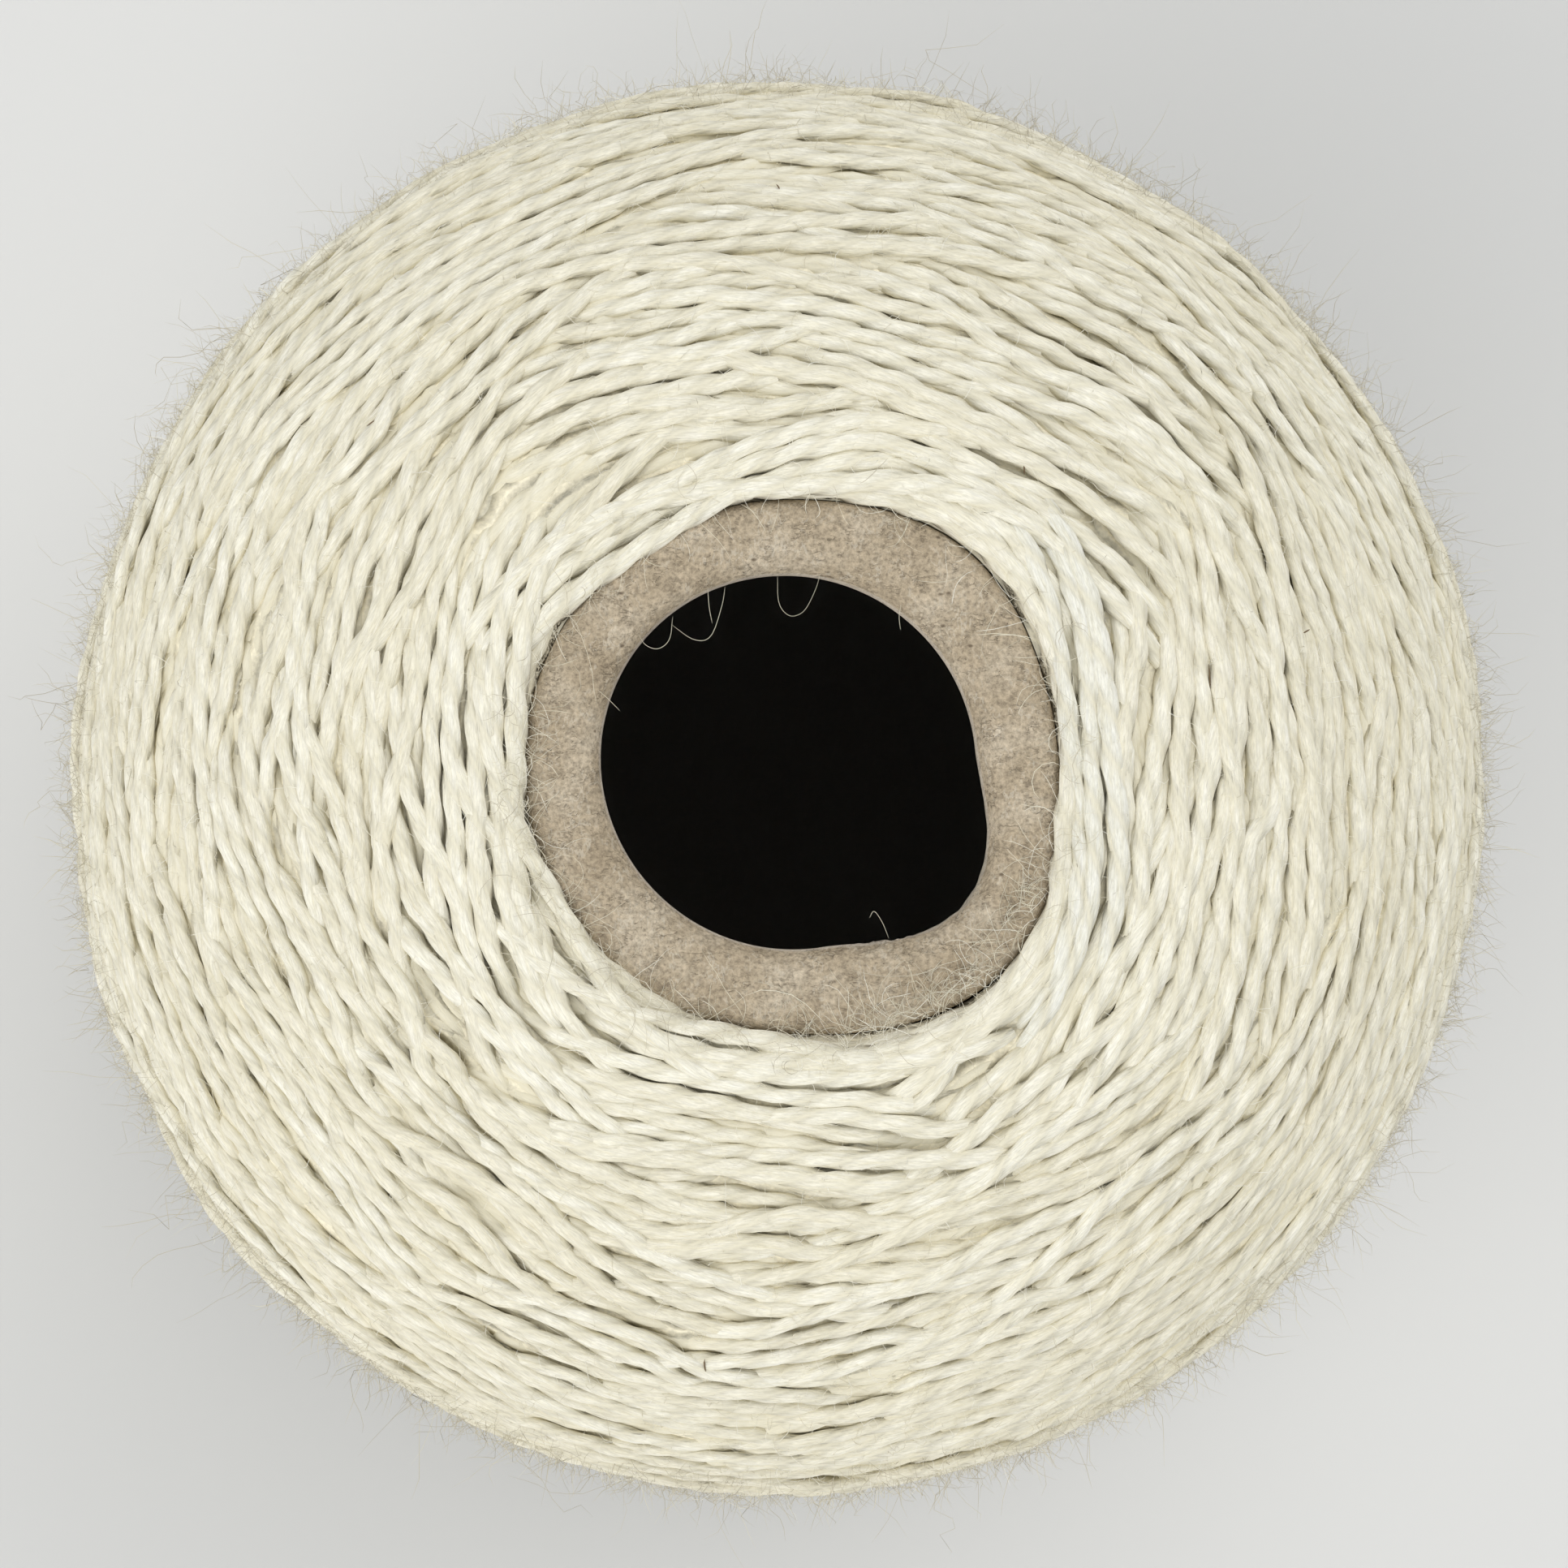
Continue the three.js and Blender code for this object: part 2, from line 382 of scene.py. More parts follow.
def package_face():
    """The package's face in millimetres, from the nose round to the foot: distance, radius, height."""
    crest = CONE_HEIGHT + CREST_ABOVE_NOSE
    shoulder = (CREST_RADIUS, crest - DOME_DROP)
    dome = arc_points(shoulder, (DOME_REACH, DOME_DROP), 90, 0, 400, 2 / DOME_FULLNESS)
    flank_r = CREST_RADIUS + DOME_REACH + TAPER * (shoulder[1] - FLANK_END)
    edge = arc_points((flank_r - EDGE_INSET, FLANK_END), (EDGE_INSET, EDGE_DROP), 0, -90, 60)
    bottom = FLANK_END - EDGE_DROP
    foot = (cone_outer(bottom) + YARN_RADIUS, bottom)
    start = (FACE_START, CONE_HEIGHT - 0.1)
    outline = np.vstack((straight(start, dome[0], 20), dome, edge, [foot]))
    steps = np.hypot(*np.diff(outline, axis=0).T)
    distance = np.concatenate(([0], np.cumsum(steps)))
    keep = np.concatenate(([True], steps > 1e-9))
    even = np.arange(0, distance[-1], 0.1)
    return even, *(np.interp(even, distance[keep], outline[keep, i]) for i in (0, 1))


face_s, face_r, face_z = package_face()
FACE_LENGTH = face_s[-1]
slope_r, slope_z = np.gradient(face_r, face_s), np.gradient(face_z, face_s)
normal_r = -slope_z / np.hypot(slope_r, slope_z)
normal_z = slope_r / np.hypot(slope_r, slope_z)
HUG = float(np.interp(cone_outer(CONE_HEIGHT - 1) + AGAINST_CONE * YARN_RADIUS, face_r[:200], face_s[:200]))
SHOULDER = float(face_s[np.argmin(np.abs(face_z - (CONE_HEIGHT + CREST_ABOVE_NOSE - DOME_DROP)))])
FOOT_EDGE = float(face_s[np.argmin(np.abs(face_z - FLANK_END))])


def radius_at(s):
    return np.interp(s, face_s, face_r)


def on_face(s, theta, height):
    """Points at a height above the package's face, in millimetres."""
    r = radius_at(s) + height * np.interp(s, face_s, normal_r)
    z = np.interp(s, face_s, face_z) + height * np.interp(s, face_s, normal_z)
    return np.column_stack((r * np.cos(theta), r * np.sin(theta), z))


def smooth_noise(count, spacing, length):
    """A smooth random line of unit size that wavers over a length."""
    knots = rng.normal(size=int(count * spacing / length) + 4)
    at = np.linspace(0.5, len(knots) - 1.5, count)
    low = np.floor(at).astype(int)
    share = (1 - np.cos((at - low) * math.pi)) / 2
    return knots[low] * (1 - share) + knots[low + 1] * share


def along_blur(values, length):
    """Values along a turn, evened over a length in millimetres."""
    half = int(3 * length / POINT_STEP)
    weight = np.exp(-0.5 * (np.arange(-half, half + 1) * POINT_STEP / length) ** 2)
    padded = np.pad(values, half, mode="edge")
    return np.convolve(padded, weight / weight.sum(), "valid")


def waver(count_s, count_theta, size):
    """Low swells over the whole package, as a height map."""
    swell = np.zeros((rows, COLUMNS))
    for _ in range(4):
        lobes, phase = rng.integers(1, count_theta + 1), rng.uniform(0, 2 * math.pi, 2)
        across = np.cos(2 * math.pi * rng.uniform(0, count_s) * row_s / FACE_LENGTH + phase[0])
        swell += size / 2 * np.outer(across, np.cos(lobes * column_theta + phase[1]))
    return swell


# the height of what is wound so far is kept on a grid: rows along the face, columns round it
rows = COARSE * (int(FACE_LENGTH / CELL / COARSE) + 2)
row_s = np.arange(rows) * CELL
column_theta = np.linspace(0, 2 * math.pi, COLUMNS, endpoint=False)
bed = sum(waver(*swells) for swells in SWELLS) - WOUND_DEPTH
settled = np.zeros_like(bed)
wound = []

# the cone's own rounded nose carries the few turns that lap onto it
on_cone = radius_at(row_s) < cone_outer(CONE_HEIGHT - 1)
inset = np.clip(radius_at(row_s) - (cone_outer(CONE_HEIGHT) - NOSE_ROUNDING), 0, NOSE_ROUNDING)
cone_top = CONE_HEIGHT - NOSE_ROUNDING + np.sqrt(NOSE_ROUNDING ** 2 - inset ** 2)
bare_nose = (cone_top - np.interp(row_s, face_s, face_z))[on_cone, None]
bed[on_cone] = bare_nose
free = np.clip((radius_at(row_s) - cone_outer(CONE_HEIGHT) - 0.6) / 0.8, 0, 1)
free[row_s > SHOULDER] = 1
press_share = (free * np.clip((FACE_LENGTH - row_s) / 1.5, 0, 1))[:, None]

coarse_s = row_s.reshape(-1, COARSE).mean(axis=1)
coarse_waves = np.arange(COLUMNS // COARSE // 2 + 1)
even_round = np.exp(-0.5 * (coarse_waves[None, :] * EVEN_OVER / radius_at(coarse_s)[:, None]) ** 2)
even_along = np.exp(-0.5 * ((coarse_s[:, None] - coarse_s[None, :]) / EVEN_OVER) ** 2)
even_along /= even_along.sum(axis=1)[:, None]
fine_row = np.clip((np.arange(rows) - 1.5) / COARSE, 0, rows // COARSE - 1.001)
fine_column = (np.arange(COLUMNS) - 1.5) / COARSE


def evened(field):
    """A height map with its detail smoothed away."""
    coarse = field.reshape(rows // COARSE, COARSE, COLUMNS // COARSE, COARSE).mean(axis=(1, 3))
    coarse = even_along @ np.fft.irfft(np.fft.rfft(coarse, axis=1) * even_round, n=coarse.shape[1], axis=1)
    low, share = fine_row.astype(int), (fine_row % 1)[:, None]
    coarse = coarse[low] * (1 - share) + coarse[low + 1] * share
    low, share = np.floor(fine_column).astype(int), fine_column % 1
    return coarse[:, low] * (1 - share) + coarse[:, (low + 1) % coarse.shape[1]] * share


def settle():
    """Presses the wound yarn back to the package's shape where it has risen too high."""
    excess = np.maximum(evened(bed) - LEVEL, 0) * press_share
    np.subtract(bed, excess, out=bed)
    np.add(settled, excess, out=settled)


def map_at(field, s, theta):
    """A height map's values along a turn."""
    row = np.clip(s / CELL, 0, rows - 1.001)
    column = theta / (2 * math.pi) * COLUMNS
    r0, c0 = row.astype(int), np.floor(column).astype(int) % COLUMNS
    u, v, c1 = row - r0, column % 1, (c0 + 1) % COLUMNS
    near = field[r0, c0] * (1 - v) + field[r0, c1] * v
    far = field[r0 + 1, c0] * (1 - v) + field[r0 + 1, c1] * v
    return near * (1 - u) + far * u


def across_way(s, theta):
    """The way across a turn, as distance along the face and angle for each millimetre."""
    r = radius_at(s)
    step_s, step_x = np.gradient(s), np.gradient(theta) * r
    length = np.hypot(step_s, step_x)
    return step_x / length, -step_s / length / r


def cells_beside(s, theta, radius, reach, count):
    """Grid cells in a row across a turn at each of its points, and the turn's half height over each."""
    share = np.linspace(-reach, reach, count)
    beside = share * radius[:, None] * WIDE
    way_s, way_theta = across_way(s, theta)
    row = np.rint((s[:, None] + beside * way_s[:, None]) / CELL).astype(int)
    column = np.rint((theta[:, None] + beside * way_theta[:, None]) / (2 * math.pi) * COLUMNS).astype(int)
    return np.clip(row, 0, rows - 1), column % COLUMNS, FLAT * radius[:, None] * np.sqrt(1 - share ** 2)


def slipped(s, theta, radius):
    """The turn after it has slipped sideways into the valleys under it."""
    for _ in range(SLIP_ROUNDS):
        row, column, _ = cells_beside(s, theta, radius, 0.9, 7)
        level = bed[row, column]
        tilt = along_blur(level[:, 4:].mean(axis=1) - level[:, :3].mean(axis=1), SLIP_OVER)
        slip = np.clip(-SLIP_SHARE * tilt, -SLIP_MOST, SLIP_MOST)
        way_s, way_theta = across_way(s, theta)
        s, theta = s + slip * way_s, theta + slip * way_theta
    return s, theta


def taut_over(rest):
    """Bridges the dips under a pulled yarn, which bends no tighter than a set radius."""
    half = int(TAUT_REACH / POINT_STEP)
    sag = (np.arange(-half, half + 1) * POINT_STEP) ** 2 / (2 * TAUT_BEND)
    padded = np.pad(rest, half, mode="edge")
    return (np.lib.stride_tricks.sliding_window_view(padded, 2 * half + 1) - sag).max(axis=1)


def wind(s, theta, slips=True, lowest=0.05, tone=None):
    """Pulls one turn down onto the wound yarn, and adds it."""
    uneven = 1 + rng.normal(0, TURN_VARIES) + ALONG_VARIES * smooth_noise(len(s), POINT_STEP, VARIES_OVER)
    radius = np.clip(YARN_RADIUS * uneven, THINNEST * YARN_RADIUS, THICKEST * YARN_RADIUS)
    if slips:
        s, theta = slipped(s, theta, radius)
    s = s + rim_push(np.degrees(theta)) * np.exp(-np.maximum(s - HUG, 0) / PUSH_FADES)
    s = np.clip(s, lowest, FACE_LENGTH - 0.1)
    row, column, rise = cells_beside(s, theta, radius, 0.8, 7)
    rest = (bed[row, column] + rise).max(axis=1) - PRESS
    height = along_blur((taut_over(rest) + along_blur(rest, STIFF_OVER)) / 2, SMOOTH_OVER)
    row, column, rise = cells_beside(s, theta, radius, 0.95, 9)
    np.maximum.at(bed, (row, column), height[:, None] + rise)
    before = map_at(settled, s, theta)
    laid = rng.uniform(0, 200 * PLY_PITCH)
    tone = rng.uniform(0, 0.6) if tone is None else tone
    wound.append({"s": s, "theta": theta, "radius": radius, "height": height, "before": before,
                  "laid": laid, "tone": tone})
    if len(wound) % SETTLE_EVERY == 0:
        settle()


def deepest_place(s, theta, slides, scatter=0.16):
    """How far to slide a turn along and round the package to where it lies deepest."""
    row = np.clip(np.rint((s[None, ::3] + slides[:, None]) / CELL).astype(int), 0, rows - 1)
    column = np.rint(theta[::3] / (2 * math.pi) * COLUMNS).astype(int)
    shifts = np.arange(rng.integers(5), COLUMNS, 5)
    depth = bed[row[:, None, :], (column[None, None, :] + shifts[None, :, None]) % COLUMNS].mean(axis=2)
    depth += rng.normal(0, scatter, depth.shape)
    slide, shift = np.unravel_index(depth.argmin(), depth.shape)
    return slides[slide], shifts[shift] * 2 * math.pi / COLUMNS


# The turns beneath.
# The package is solid with turns. Those under the top ones are nearly level and lie close side by side,
# and wander a little, so the turns above them have valleys to slip into.
BENEATH_PITCH = 1.36
BENEATH_WANDER = 0.2

for start in np.arange(HUG, FACE_LENGTH, BENEATH_PITCH):
    length = 2 * math.pi * float(radius_at(start)) + 2
    x = np.arange(0, length, POINT_STEP)
    drift = BENEATH_WANDER * smooth_noise(len(x), POINT_STEP, 30)
    wind(start + BENEATH_PITCH * x / length + drift, 2.4 * start + x / radius_at(start), slips=False)


# The turns on the nose end.
# Each is a traverse that comes in over the shoulder, turns back near the nose and goes out again. They
# were laid from the cone outwards, in runs of one to four side by side, steeper near the cone.
NOSE_LAYERS = 3.0
STEEPNESS = 10.5
BESIDE = 1.28
HUGGING = 14
SLIDES = np.linspace(-1.2, 1.2, 7)
GOLDEN = math.pi * (3 - math.sqrt(5))
SLOPE_VARIES = (0.6, 1.25)
BEND_VARIES = (0.6, 1.3)
REACHES = (3.5, 6.5)
RUNS = (1, 2, 3, 4)
NOSE_RUNS = (0.25, 0.3, 0.3, 0.15)

# a whiter run lies along the cone on one side: its place in the run, and the angle of its middle
WHITE_RUN = ((0, 2), (1, -2), (2, 4))
# a few turns lap onto the cone's edge: how far in they reach, and the angle of their middle
LAPPED = ((-1.8, 118), (-0.5, 120), (0.75, 122), (-1.2, 182), (-0.1, 178), (0.3, 209), (-0.1, 92), (0.1, 259))


def reversal(s_turn, slope, bend, reach, side=1):
    """One turn back, as distance along the face and angle: side is 1 on the nose end, -1 on the foot."""
    soft = slope * slope * bend
    half = math.sqrt((reach + soft) ** 2 - soft ** 2) / slope
    x = np.arange(-half, half, POINT_STEP)
    s = s_turn + side * (np.sqrt((x * slope) ** 2 + soft ** 2) - soft)
    s = s + 0.06 * smooth_noise(len(x), POINT_STEP, 18)
    turned = np.cumsum(POINT_STEP / radius_at(s))
    return s, turned - turned[len(x) // 2]


def wind_end(start, stop, side, layers):
    """Winds one end of the package, from its inner edge outwards."""
    s_turn = start
    while side * (stop - s_turn) > 0:
        r = float(radius_at(s_turn))
        slope = STEEPNESS / r * rng.uniform(*SLOPE_VARIES)
        bend = r * rng.uniform(*BEND_VARIES)
        beside = rng.choice(RUNS, p=NOSE_RUNS)
        reach = rng.uniform(*REACHES)
        s, theta = reversal(s_turn, slope, bend, reach, side)
        seen = slice(len(s) // 5, -(len(s) // 5))
        slide, shift = deepest_place(s[seen] + side * 0.7 * (beside - 1), theta[seen], SLIDES)
        for place in range(beside):
            s, theta = reversal(s_turn + slide + side * place * BESIDE, slope, bend, reach, side)
            wind(s, theta + shift + rng.normal(0, 0.04), lowest=HUG)
            s_turn += side * len(s) * POINT_STEP * 2 * YARN_RADIUS / (layers * 2 * math.pi * r)


for hugging in range(HUGGING):
    s, theta = reversal(HUG + rng.uniform(0, 0.3), 0.05, 60, 2.4)
    wind(s, theta + hugging * GOLDEN, slips=False, lowest=HUG)
wind_end(HUG + 0.3, SHOULDER - 2, 1, NOSE_LAYERS)

for beside, centre in WHITE_RUN:
    s, theta = reversal(HUG + 0.1 + beside * BESIDE, 0.3, 24, 3.5)
    wind(s, theta + math.radians(centre), slips=False, lowest=HUG, tone=1.0)
for inwards, centre in LAPPED:
    s, theta = reversal(HUG - inwards, 0.3, 17, 4)
    wind(s, theta + math.radians(centre), slips=False, lowest=0.3, tone=0.5)


# The turns on the foot end.
# They turn back in the same way round the rounded edge and the flat underside, and stop at the cone.
FOOT_LAYERS = 2.4

wind_end(FACE_LENGTH - 0.8, FOOT_EDGE - 4, -1, FOOT_LAYERS)


# The turns on the flank.
# Each pass climbs from the foot to the nose and comes back down at about 12 degrees to level, in runs of
# parallel passes, so they cross as long diamonds.
CLIMB = math.tan(math.radians(12))
PASSES = 26
FLANK_SLIDES = np.linspace(-2, 2, 5)
FLANK_RUNS = (0.2, 0.3, 0.3, 0.2)
FLANK_BENDS = (20, 38)


def flank_pass(s_foot, s_nose, bend):
    """One pass up and down the flank, from one turn at the foot to the next."""
    one_way = (s_foot - s_nose) / CLIMB
    x = np.arange(-0.5 * bend, 2 * one_way + 0.5 * bend, POINT_STEP)
    way = -np.tanh(x / bend) + np.tanh((x - one_way) / bend) - np.tanh((x - 2 * one_way) / bend)
    s = s_foot + np.cumsum(way) * CLIMB * POINT_STEP
    s = s - s.max() + s_foot + 0.12 * smooth_noise(len(x), POINT_STEP, 25)
    return s, np.cumsum(POINT_STEP / radius_at(s))


for index in range(PASSES):
    s_foot, s_nose = FOOT_EDGE + rng.uniform(-1, 9), SHOULDER + rng.uniform(-9, 3)
    bend = rng.uniform(*FLANK_BENDS)
    beside = rng.choice(RUNS, p=FLANK_RUNS)
    s, theta = flank_pass(s_foot, s_nose, bend)
    slide, shift = deepest_place(s, theta, FLANK_SLIDES, scatter=0.01)
    for place in range(beside):
        s, theta = flank_pass(s_foot + slide + BESIDE * place, s_nose + slide + BESIDE * place, bend)
        wind(s, theta + shift)


# The yarn itself.
# Two plies of wool twisted together to the left: a soft, slightly uneven yarn with a groove between its
# plies. Only the stretches that can be seen are made, and their ends are tucked under the turns above.
PLY_OFFSET = 0.28
PLY_SIZE = 0.72
SQUASH = 0.7
DEEPEST = 0.65
SHOWN_WIDTH = 0.97
TAIL = 9
TAIL_DROP = 1.8
HIDDEN_BELOW = 0.02
TUCK = 1.5
LEAST_STEPS = 2.6
UNEVEN = 0.035
END_THINS, END_DIPS = 0.4, 0.5
NOSE_END, FOOT_END = SHOULDER + 4, FOOT_EDGE - 2


def top_map():
    """The height map of the finished package."""
    top = np.full_like(bed, -WOUND_DEPTH)
    top[on_cone] = bare_nose
    for turn in wound:
        row, column, rise = cells_beside(turn["s"], turn["theta"], turn["radius"], 0.95, 9)
        np.maximum.at(top, (row, column), turn["height"][:, None] + rise)
    return top


# the turns on top squash those below them, so the face is flatter than turns laid loosely would be
settle()
for turn in wound:
    sunk = map_at(settled, turn["s"], turn["theta"]) - turn["before"]
    from_end = np.minimum(np.arange(len(sunk)), np.arange(len(sunk))[::-1]) * POINT_STEP
    tail = TAIL_DROP * (1 - np.clip(from_end / TAIL, 0, 1)) ** 2
    turn["height"] = along_blur(turn["height"] - sunk - tail, 1.4)
cover = evened(top_map())
for turn in wound:
    level = map_at(cover, turn["s"], turn["theta"])
    turn["height"] = level + DEEPEST * np.tanh((turn["height"] - level) * SQUASH / DEEPEST)
top = top_map()


def seen_stretches(turn):
    """Index ranges of a turn's points that show on top of the finished package."""
    row, column, rise = cells_beside(turn["s"], turn["theta"], turn["radius"], 0.9, 9)
    reach = turn["height"][:, None] + rise
    least = np.where(turn["s"] < NOSE_END, 2, 4)
    seen = (reach > top[row, column] - HIDDEN_BELOW).sum(axis=1) >= least
    spread = int(TUCK / POINT_STEP)
    wide = np.convolve(seen, np.ones(2 * spread + 1), "same") > 0
    edges = np.flatnonzero(np.diff(np.concatenate(([0], wide.astype(int), [0]))))
    return list(zip(edges[::2], edges[1::2]))


def ply_outline(phase):
    """Radius of a two-ply section at angles from its plies, as a share of the yarn's."""
    return PLY_OFFSET * np.abs(np.cos(phase)) + np.sqrt(PLY_SIZE ** 2 - (PLY_OFFSET * np.sin(phase)) ** 2)


def yarn_rings(turn, first, last, step, corners):
    """Rings of points round one stretch of yarn, and the lay and depth of its fibres at each."""
    at = np.arange(first, last - 1, step / POINT_STEP)
    index = np.arange(len(turn["s"]))
    s, theta, radius, height = (np.interp(at, index, turn[key]) for key in ("s", "theta", "radius", "height"))
    sink = np.clip(1 - np.minimum(np.arange(len(at)), np.arange(len(at))[::-1]) / 3, 0, 1) ** 2
    radius = radius * (1 - END_THINS * sink)
    middle = on_face(s, theta, height - END_DIPS * sink)
    along = np.gradient(middle, axis=0)
    along /= np.linalg.norm(along, axis=1)[:, None]
    outwards = on_face(s, theta, height + 1) - on_face(s, theta, height)
    beside = np.cross(along, outwards)
    beside /= np.linalg.norm(beside, axis=1)[:, None]
    outwards = np.cross(beside, along)
    length = at * POINT_STEP + turn["laid"]
    angle = np.broadcast_to(np.radians(corners)[None, :], (len(at), len(corners)))
    size = radius[:, None] * ply_outline(angle - 2 * math.pi * length[:, None] / PLY_PITCH)
    size = size * (1 + rng.normal(0, UNEVEN, size.shape))
    across, rise = SHOWN_WIDTH * WIDE * np.cos(angle) * size, FLAT * np.sin(angle) * size
    points = middle[:, None] + across[..., None] * beside[:, None] + rise[..., None] * outwards[:, None]
    lay = np.stack((np.cos(angle), np.sin(angle), np.broadcast_to(length[:, None], angle.shape)), axis=-1)
    depth = (map_at(cover, s, theta) - height)[:, None] - rise
    return points, lay, depth


def tube_faces(start, count, sides):
    """Corner lists of a closed tube's sides, for rings of points stored one after another."""
    ring = start + np.arange(count - 1)[:, None] * sides
    corner = np.arange(sides)[None, :]
    after = (corner + 1) % sides
    return np.stack((ring + corner, ring + after, ring + sides + after, ring + sides + corner), axis=-1)


def joined_tubes(name, tubes, attributes):
    """One mesh of many closed tubes. Each tube is (rings of points, attribute values in order)."""
    points = np.concatenate([rings.reshape(-1, 3) for rings, *_ in tubes]) * MM
    quads, caps, start = [], [], 0
    for rings, *_ in tubes:
        count, sides = rings.shape[:2]
        quads.append(tube_faces(start, count, sides).reshape(-1, 4))
        first, last = start + np.arange(sides), start + (count - 1) * sides + np.arange(sides)
        caps.append(np.concatenate((first[::-1], last)).reshape(2, sides))
        start += count * sides
    quads, caps = np.concatenate(quads), np.concatenate(caps)
    mesh = bpy.data.meshes.new(name)
    mesh.vertices.add(len(points))
    mesh.vertices.foreach_set("co", points.ravel())
    mesh.loops.add(quads.size + caps.size)
    mesh.loops.foreach_set("vertex_index", np.concatenate((quads.ravel(), caps.ravel())))
    mesh.polygons.add(len(quads) + len(caps))
    starts = np.concatenate((np.arange(len(quads)) * 4, quads.size + np.arange(len(caps)) * caps.shape[1]))
    mesh.polygons.foreach_set("loop_start", starts)
    mesh.polygons.foreach_set("use_smooth", np.ones(len(starts), dtype=bool))
    for place, (label, kind, key) in enumerate(attributes):
        layer = mesh.attributes.new(label, kind, "POINT")
        layer.data.foreach_set(key, np.concatenate([tube[place + 1].ravel() for tube in tubes]))
    mesh.update(calc_edges=True)
    mesh.validate()
    return mesh


WOOL = (0.84, 0.81, 0.685)
WOOL_LIGHT = (0.90, 0.875, 0.775)
WOOL_SHADE = (0.77, 0.725, 0.57)
# painted shade and painted bounce light: the khaki of the flanks and gaps between turns, and the paler colour
# deepest in them
WOOL_PAINTED_SHADE = (0.79, 0.74, 0.575)
WOOL_PAINTED_BOUNCE = (0.97, 0.91, 0.69)
# painted bounce light: the yellowed colour of the wool beneath, where it shows in slits between turns
WOOL_UNDER_PAINTED_BOUNCE = (0.88, 0.82, 0.64)


def cream_wool():
    """Soft two-ply wool, with painted shade in the groove of its plies, and painted shade and painted bounce
    light, khaki and then paler, deep between the turns.
    """
    material, tree, shader = finish_of("cream_wool", Roughness=0.85, Specular_IOR_Level=0.15,
                                       Sheen_Weight=0.2, Sheen_Roughness=0.4, Sheen_Tint=(1.0, 0.95, 0.82, 1))
    lay = put(tree, "Attribute", {"attribute_name": "lay"}).outputs["Vector"]
    tone = put(tree, "Attribute", {"attribute_name": "tone"}).outputs["Fac"]
    where = put(tree, "SeparateXYZ", Vector=lay).outputs
    twist = maths(tree, "MULTIPLY", where["Z"], 2 * math.pi / PLY_PITCH)
    phase = maths(tree, "SUBTRACT", maths(tree, "ARCTAN2", where["Y"], where["X"]), twist)
    groove = maths(tree, "ABSOLUTE", maths(tree, "SINE", phase))
    valley = maths(tree, "POWER", groove, 5.0)
    depth = put(tree, "Attribute", {"attribute_name": "depth"}).outputs["Fac"]
    long_lay = put(tree, "Mapping", Vector=lay, Scale=(2.2, 2.2, 0.45)).outputs["Vector"]
    fine_lay = put(tree, "Mapping", Vector=lay, Scale=(8.0, 8.0, 1.8)).outputs["Vector"]
    fibres = put(tree, "TexNoise", Vector=long_lay, Scale=1.0, Detail=4.0, Roughness=0.65).outputs["Fac"]
    strands = put(tree, "TexNoise", Vector=fine_lay, Scale=1.0, Detail=2.0, Roughness=0.6).outputs["Fac"]
    colour = ramp(tree, fibres, (0.30, WOOL_SHADE), (0.48, WOOL), (0.66, WOOL_LIGHT))
    shade = ramp(tree, tone, (0.0, (0.92, 0.90, 0.85)), (0.6, (1.0, 1.0, 1.0)), (1.0, (0.94, 0.955, 0.985)))
    colour = blend_colour(tree, 1.0, colour, shade, "MULTIPLY")
    colour = blend_colour(tree, 1.0, colour, ramp(tree, strands, (0.35, 0.87), (0.65, 1.07)), "MULTIPLY")
    # painted shade: the groove between the two plies is darkened towards WOOL_SHADE
    colour = blend_colour(tree, maths(tree, "MULTIPLY", valley, 0.7), colour, WOOL_SHADE)
    # painted shade and painted bounce light: lower on a turn and deeper between turns the colour goes khaki,
    # then paler again where deepest
    depth = maths(tree, "ADD", depth, 0.3)
    deep = ramp(tree, depth, (0.5, WOOL_PAINTED_SHADE), (0.8, WOOL_PAINTED_BOUNCE))
    colour = blend_colour(tree, ramp(tree, depth, (0.05, 0.0), (0.55, 1.0)), colour, deep)
    tree.links.new(colour, shader.inputs["Base Color"])
    rough = bump(tree, valley, 0.9, 0.15, inwards=True)
    rough = bump(tree, fibres, 0.4, 0.10, rough)
    rough = bump(tree, strands, 0.7, 0.05, rough)
    tree.links.new(rough, shader.inputs["Normal"])
    return material


wool = cream_wool()
NOSE_CORNERS = (-12, 30, 70, 110, 150, 192, 270)
SIDE_CORNERS = (-5, 55, 125, 185, 270)
MAKES = {"nose": (0.9, NOSE_CORNERS), "flank": (2.4, SIDE_CORNERS), "foot": (2.4, SIDE_CORNERS)}
MOST_FACES = 95000
YARN_ATTRIBUTES = (("lay", "FLOAT_VECTOR", "vector"), ("depth", "FLOAT", "value"), ("tone", "FLOAT", "value"))
stretches = {place: [] for place in MAKES}

for turn in wound:
    for first, last in seen_stretches(turn):
        middle = turn["s"][first:last].mean()
        place = "nose" if middle < NOSE_END else "foot" if middle > FOOT_END else "flank"
        step, corners = MAKES[place]
        if (last - first) * POINT_STEP < LEAST_STEPS * step:
            continue
        rings, lay, depth = yarn_rings(turn, first, last, step, corners)
        stretches[place].append((rings, lay, depth, np.full(rings.shape[:2], turn["tone"])))

for place, tubes in stretches.items():
    faces = np.cumsum([tube[0].shape[0] * tube[0].shape[1] for tube in tubes])
    parts = math.ceil(faces[-1] / MOST_FACES)
    for part in range(parts):
        low, high = faces[-1] * part / parts, faces[-1] * (part + 1) / parts
        chosen = [tube for tube, total in zip(tubes, faces) if low < total <= high]
        name = f"{place}_turns_{part + 1}"
        finished(name, joined_tubes(name, chosen, YARN_ATTRIBUTES), wool, "wound_yarn")


# The yarn beneath it all.
# One smooth body under every turn that is made fills the package, so no gap is ever seen through.
UNDER = 0.2
UNDER_FLANK = 0.85
UNDER_STEP = 3.0
UNDER_COLUMNS = 90


